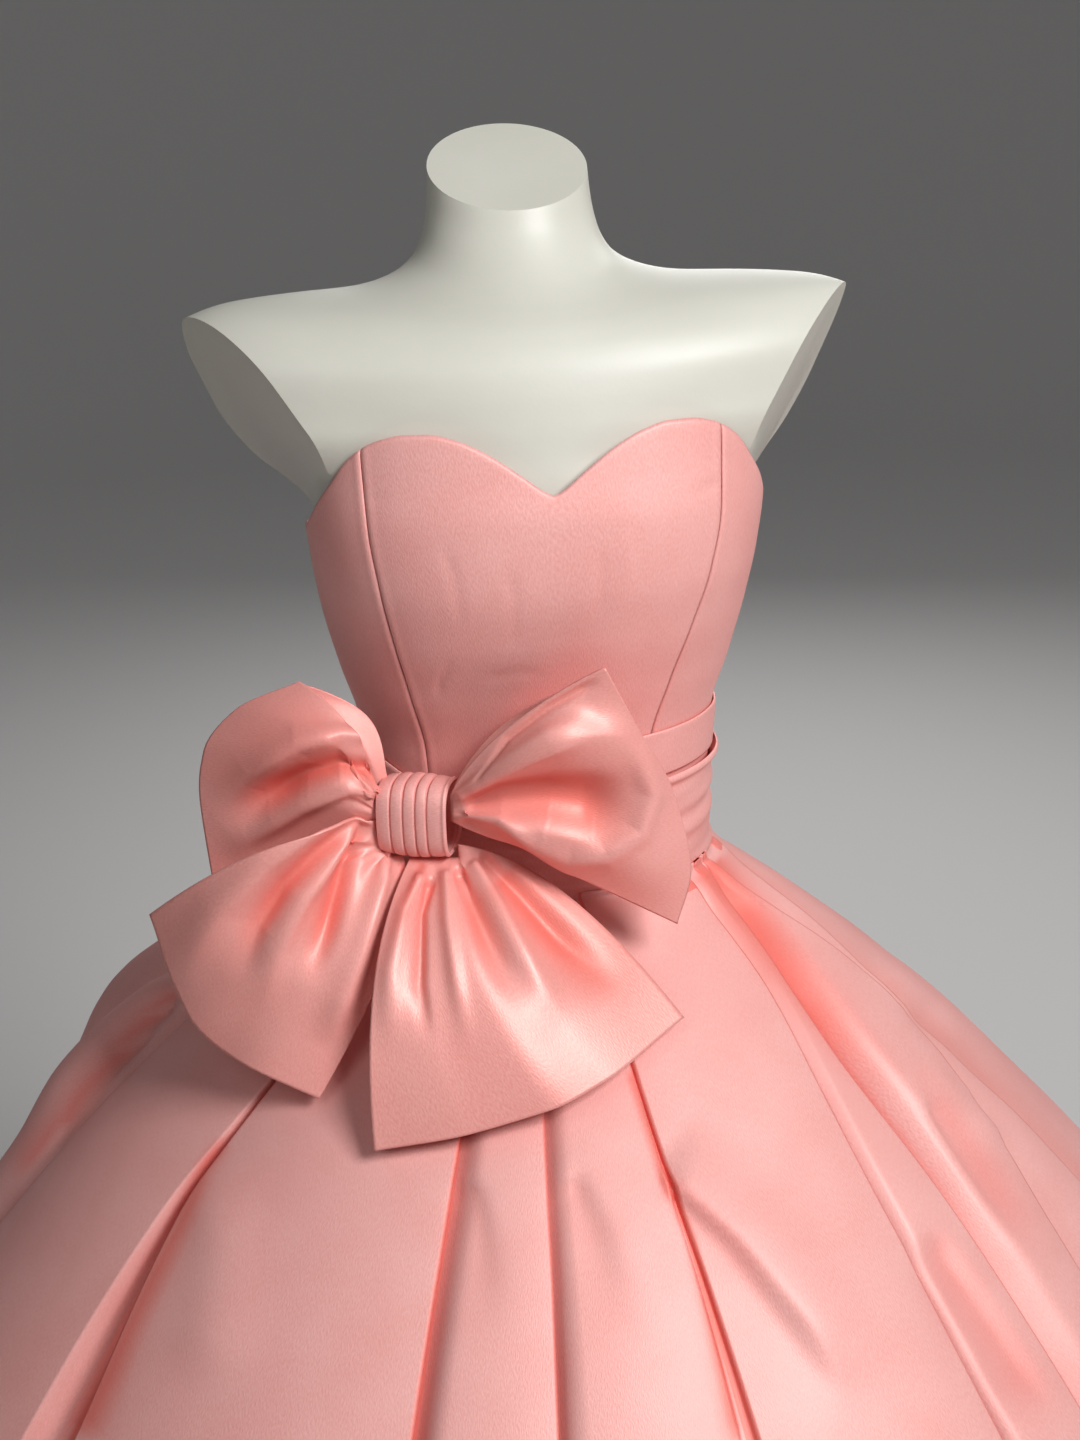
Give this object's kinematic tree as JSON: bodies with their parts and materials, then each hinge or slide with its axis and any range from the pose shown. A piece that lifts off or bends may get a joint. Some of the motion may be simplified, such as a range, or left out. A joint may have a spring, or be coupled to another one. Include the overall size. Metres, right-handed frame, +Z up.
{
  "type": "strapless party dress on a limbless display form",
  "caption": "Strapless satin dress with sweetheart bodice, sash, big side bow and full pleated knee-length skirt, on a limbless torso form with pole and round base.",
  "frame": {"origin": "middle of the stand's round base, on its underside", "axes": "+Z up; the front of the dress faces -Y; +X is the viewer's right, the wearer's left"},
  "size_m": [1.1809, 1.17, 1.4693],
  "materials": {
    "satin": "coral pink satin, soft sheen",
    "bow_satin": "coral pink satin, brighter sheen",
    "form_white": "off-white, semi-matt moulded shell",
    "stand_steel": "brushed steel"
  },
  "bodies": {
    "root": {"form_torso": "form_white", "form_base": "stand_steel", "form_collar": "stand_steel", "form_pole": "stand_steel", "bodice_front": "satin", "bodice_side_left": "satin", "bodice_side_right": "satin", "bodice_back_left": "satin", "bodice_back_right": "satin", "sash_wrap": "satin", "sash_band": "satin", "skirt_front": "satin", "skirt_back_right": "satin", "skirt_back_left": "satin", "bow_knot": "bow_satin", "bow_loop_right": "bow_satin", "bow_loop_left": "bow_satin", "bow_tail_right": "bow_satin", "bow_tail_left": "bow_satin"}
  },
  "joints": []
}
